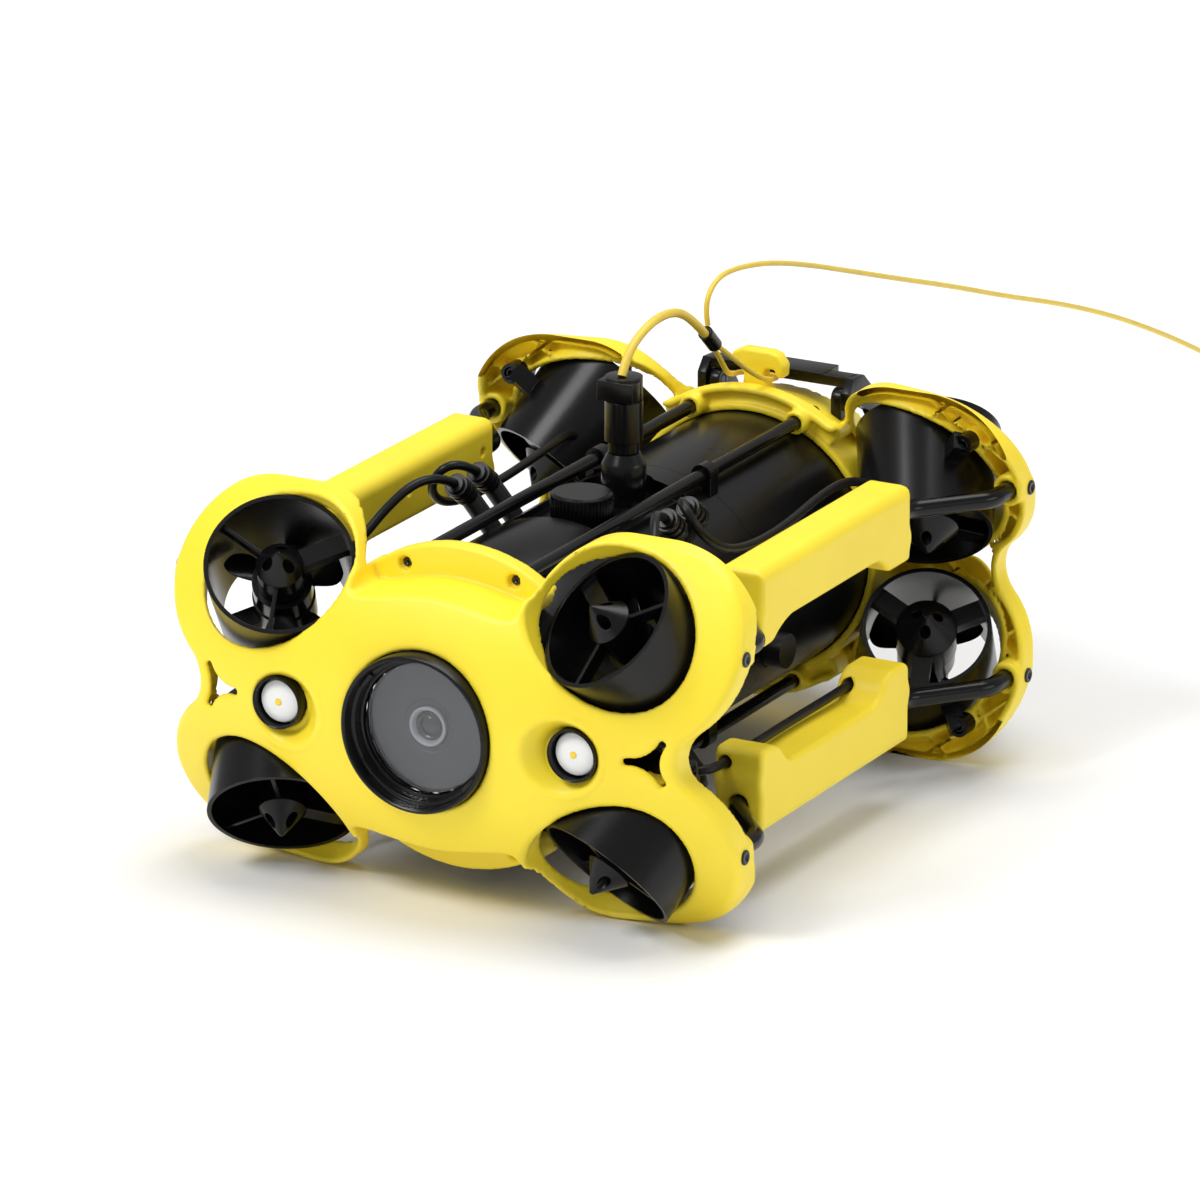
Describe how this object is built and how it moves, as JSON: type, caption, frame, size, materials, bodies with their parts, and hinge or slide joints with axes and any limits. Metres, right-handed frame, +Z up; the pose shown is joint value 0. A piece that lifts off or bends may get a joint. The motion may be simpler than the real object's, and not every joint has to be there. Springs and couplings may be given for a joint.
{
  "type": "underwater inspection rov",
  "caption": "Compact open-frame underwater inspection vehicle with lobed end panels, angled ducted thrusters, a central pressure hull, camera, lamps, floats and a tether.",
  "frame": {"origin": "on the surface that the lower lobes rest on, under the middle of the vehicle without its tether", "axes": "+Z up, -Y ahead (the camera looks along -Y), +X to starboard"},
  "size_m": [0.267, 0.9342, 0.2103],
  "materials": {
    "yellow_shell": "satin lemon yellow moulding",
    "yellow_foam": "satin yellow painted rigid foam",
    "black_plastic": "fine satin black moulding",
    "black_anodised": "satin black hard-anodised aluminium",
    "black_rod": "black anodised tube",
    "black_metal": "black anodised connector",
    "window_glass": "clear hard glass",
    "lens_black": "gloss black lens barrel",
    "lamp_white": "white diffusing lamp dome",
    "dark_steel": "dark stainless steel",
    "black_rubber": "matte black rubber",
    "yellow_tether": "yellow polyurethane cable jacket"
  },
  "bodies": {
    "frame": {"front_panel": "yellow_shell", "rear_panel": "yellow_shell", "hull_front": "black_anodised", "hull_bridge": "black_anodised", "battery_tube": "black_anodised", "camera_bezel": "black_plastic", "camera_housing": "black_plastic", "camera_window": "window_glass", "camera_lens": "lens_black", "lamp_housings": "black_plastic", "lamp_lenses": "lamp_white", "thruster_duct_front_upper_right": "black_plastic", "thruster_duct_front_upper_left": "black_plastic", "thruster_duct_front_lower_right": "black_plastic", "thruster_duct_front_lower_left": "black_plastic", "thruster_duct_rear_upper_right": "black_plastic", "thruster_duct_rear_upper_left": "black_plastic", "thruster_duct_rear_lower_right": "black_plastic", "thruster_duct_rear_lower_left": "black_plastic", "side_tube_upper_right": "black_rod", "side_tube_upper_left": "black_rod", "side_tube_lower_right": "black_rod", "side_tube_lower_left": "black_rod", "float_upper_right": "yellow_foam", "float_upper_left": "yellow_foam", "float_lower_right": "yellow_foam", "float_lower_left": "yellow_foam", "tie_rods": "black_rod", "rod_clips": "black_plastic", "tether_socket": "black_metal", "tether_plug": "black_metal", "cord_clamp": "black_metal", "tether_cleat": "yellow_shell", "latch_lugs": "black_plastic", "latch_pins": "dark_steel", "cable_glands": "black_plastic", "cable_elbows": "black_rubber", "thruster_cables": "black_rubber", "side_screws": "dark_steel", "ear_screws": "dark_steel", "ledge_screws": "dark_steel", "tether_whip": "yellow_tether", "tether_loop": "yellow_tether", "tether_line": "yellow_tether", "tether_ferrule": "black_metal", "tether_coil": "yellow_tether", "tether_end_plug": "black_metal"},
    "propeller_front_upper_right_body": {"propeller_front_upper_right": "black_plastic"},
    "propeller_front_upper_left_body": {"propeller_front_upper_left": "black_plastic"},
    "propeller_front_lower_right_body": {"propeller_front_lower_right": "black_plastic"},
    "propeller_front_lower_left_body": {"propeller_front_lower_left": "black_plastic"},
    "propeller_rear_upper_right_body": {"propeller_rear_upper_right": "black_plastic"},
    "propeller_rear_upper_left_body": {"propeller_rear_upper_left": "black_plastic"},
    "propeller_rear_lower_right_body": {"propeller_rear_lower_right": "black_plastic"},
    "propeller_rear_lower_left_body": {"propeller_rear_lower_left": "black_plastic"},
    "battery": {"battery_pack": "black_anodised"},
    "latch": {"battery_latch": "black_plastic"},
    "charging_cap": {"port_cap": "black_plastic"},
    "tether_nut": {"coupling_nut": "black_metal"}
  },
  "joints": [
    {"name": "propeller_front_upper_right_spin", "type": "hinge", "parent": "frame", "child": "propeller_front_upper_right_body", "pos_m": [0.0848, -0.1402, 0.1206], "axis": [-0.3322, -0.6634, 0.6704], "continuous": true},
    {"name": "propeller_front_upper_left_spin", "type": "hinge", "parent": "frame", "child": "propeller_front_upper_left_body", "pos_m": [-0.0848, -0.1402, 0.1206], "axis": [0.3322, -0.6634, 0.6704], "continuous": true},
    {"name": "propeller_front_lower_right_spin", "type": "hinge", "parent": "frame", "child": "propeller_front_lower_right_body", "pos_m": [0.0848, -0.1402, 0.0444], "axis": [-0.3322, -0.6634, -0.6704], "continuous": true},
    {"name": "propeller_front_lower_left_spin", "type": "hinge", "parent": "frame", "child": "propeller_front_lower_left_body", "pos_m": [-0.0848, -0.1402, 0.0444], "axis": [0.3322, -0.6634, -0.6704], "continuous": true},
    {"name": "propeller_rear_upper_right_spin", "type": "hinge", "parent": "frame", "child": "propeller_rear_upper_right_body", "pos_m": [0.0848, 0.1182, 0.1206], "axis": [-0.3322, 0.6634, 0.6704], "continuous": true},
    {"name": "propeller_rear_upper_left_spin", "type": "hinge", "parent": "frame", "child": "propeller_rear_upper_left_body", "pos_m": [-0.0848, 0.1182, 0.1206], "axis": [0.3322, 0.6634, 0.6704], "continuous": true},
    {"name": "propeller_rear_lower_right_spin", "type": "hinge", "parent": "frame", "child": "propeller_rear_lower_right_body", "pos_m": [0.0848, 0.1182, 0.0444], "axis": [-0.3322, 0.6634, -0.6704], "continuous": true},
    {"name": "propeller_rear_lower_left_spin", "type": "hinge", "parent": "frame", "child": "propeller_rear_lower_left_body", "pos_m": [-0.0848, 0.1182, 0.0444], "axis": [0.3322, 0.6634, -0.6704], "continuous": true},
    {"name": "battery_slide", "type": "slide", "parent": "frame", "child": "battery", "axis": [0, 1, 0], "range_m": [0, 0.125]},
    {"name": "latch_swing", "type": "hinge", "parent": "frame", "child": "latch", "pos_m": [0, 0.142, 0.1441], "axis": [1, 0, 0], "range_deg": [0, 75]},
    {"name": "port_cap_turn", "type": "hinge", "parent": "frame", "child": "charging_cap", "pos_m": [0, -0.037, 0.14], "axis": [0, 0, 1], "range_deg": [0, 360]},
    {"name": "coupling_nut_turn", "type": "hinge", "parent": "frame", "child": "tether_nut", "pos_m": [0, 0, 0.145], "axis": [0, 0, 1], "range_deg": [0, 360]}
  ]
}
